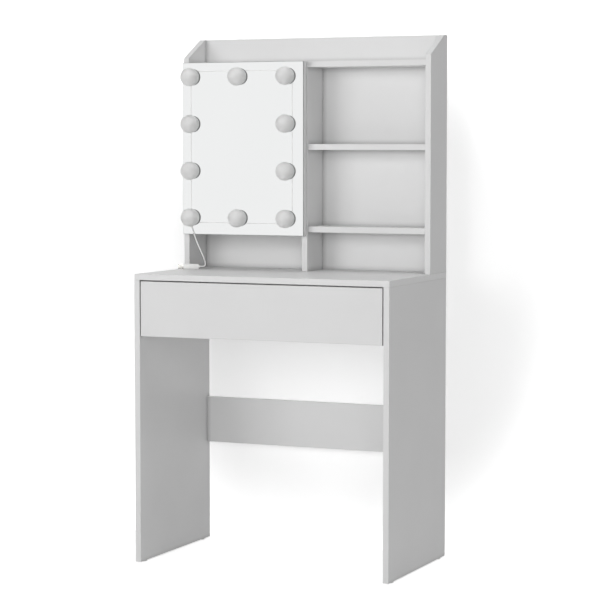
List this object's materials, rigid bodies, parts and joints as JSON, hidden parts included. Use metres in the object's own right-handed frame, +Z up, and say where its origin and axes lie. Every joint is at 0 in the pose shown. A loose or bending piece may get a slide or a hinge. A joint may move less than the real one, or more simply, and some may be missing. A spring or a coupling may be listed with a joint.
{
  "type": "vanity table",
  "caption": "Dressing table with a drawer and an open knee space, and a hutch with open shelves beside a lit mirror door on side hinges.",
  "frame": {"origin": "on the floor, at the middle of the width and depth of the table", "axes": "+Z up, +X to the right as one faces the mirror, -Y towards the person seated at the table"},
  "size_m": [0.72, 0.412, 1.394],
  "materials": {
    "white_board": "16 mm particle board with a white melamine face and matching edge band, satin",
    "drawer_board": "thin white melamine board, satin",
    "zinc_steel": "zinc-plated, dull",
    "runner_steel": "rolled steel strip, zinc-plated",
    "hinge_steel": "nickel-plated, satin",
    "mirror": "silvered float glass with polished edges",
    "foam_tape": "double-sided foam tape, matt",
    "base_plastic": "moulded, satin grey-white",
    "circuit_board": "white solder mask on an aluminium light board",
    "opal_plastic": "frosted opal globe, unlit",
    "wire_jacket": "white PVC, satin",
    "plug_steel": "nickel-plated sheet, folded",
    "glide_plastic": "white polythene",
    "catch_plastic": "white moulded case with a magnet strip"
  },
  "bodies": {
    "desk": {"table_top": "white_board", "left_side_panel": "white_board", "right_side_panel": "white_board", "lower_rear_rail": "white_board", "upper_rear_rail": "white_board", "floor_glides": "glide_plastic", "rail_cams": "zinc_steel", "rail_cam_bolts": "zinc_steel", "top_cams": "zinc_steel", "top_cam_bolts": "zinc_steel", "left_cabinet_runner": "runner_steel", "right_cabinet_runner": "runner_steel", "cabinet_runner_screws": "zinc_steel", "hutch_left_side": "white_board", "hutch_right_side": "white_board", "hutch_back_board": "white_board", "hutch_top_shelf": "white_board", "hutch_divider": "white_board", "upper_shelf": "white_board", "lower_shelf": "white_board", "cabinet_shelf": "white_board", "cabinet_floor": "white_board", "hutch_screws": "zinc_steel", "shelf_cams": "zinc_steel", "shelf_cam_bolts": "zinc_steel", "upper_hinge_frame_leaf": "hinge_steel", "upper_hinge_pin": "hinge_steel", "lower_hinge_frame_leaf": "hinge_steel", "lower_hinge_pin": "hinge_steel", "hinge_frame_screws": "zinc_steel", "magnet_catch": "catch_plastic", "feed_wire_to_plug": "wire_jacket", "usb_plug_body": "wire_jacket", "usb_plug_shell": "plug_steel"},
    "drawer": {"drawer_front": "white_board", "drawer_left_side": "drawer_board", "drawer_right_side": "drawer_board", "drawer_back": "drawer_board", "drawer_bottom": "drawer_board", "drawer_cams": "zinc_steel", "drawer_cam_bolts": "zinc_steel", "left_drawer_runner": "runner_steel", "right_drawer_runner": "runner_steel", "drawer_runner_screws": "zinc_steel"},
    "left_runner_middle": {"left_middle_runner": "runner_steel"},
    "right_runner_middle": {"right_middle_runner": "runner_steel"},
    "mirror_door": {"door_panel": "white_board", "mirror_tape": "foam_tape", "mirror_glass": "mirror", "bulb_pads": "foam_tape", "bulb_bases": "base_plastic", "bulb_light_boards": "circuit_board", "bulb_globes": "opal_plastic", "bulb_wiring": "wire_jacket", "upper_hinge_door_leaf": "hinge_steel", "lower_hinge_door_leaf": "hinge_steel", "hinge_door_screws": "zinc_steel", "catch_plate": "hinge_steel", "feed_wire_on_door": "wire_jacket"}
  },
  "joints": [
    {"name": "drawer_slide", "type": "slide", "parent": "desk", "child": "drawer", "axis": [0, -1, 0], "range_m": [0, 0.3]},
    {"name": "left_runner_slide", "type": "slide", "parent": "desk", "child": "left_runner_middle", "axis": [0, -1, 0], "range_m": [0, 0.15]},
    {"name": "right_runner_slide", "type": "slide", "parent": "desk", "child": "right_runner_middle", "axis": [0, -1, 0], "range_m": [0, 0.15]},
    {"name": "mirror_door_swing", "type": "hinge", "parent": "desk", "child": "mirror_door", "pos_m": [-0.355, 0.0815, 1.094], "axis": [0, 0, -1], "range_deg": [0, 110]}
  ],
  "couplings": [
    {"joint": "left_runner_slide", "follows": "drawer_slide", "ratio": 0.5},
    {"joint": "right_runner_slide", "follows": "drawer_slide", "ratio": 0.5}
  ]
}
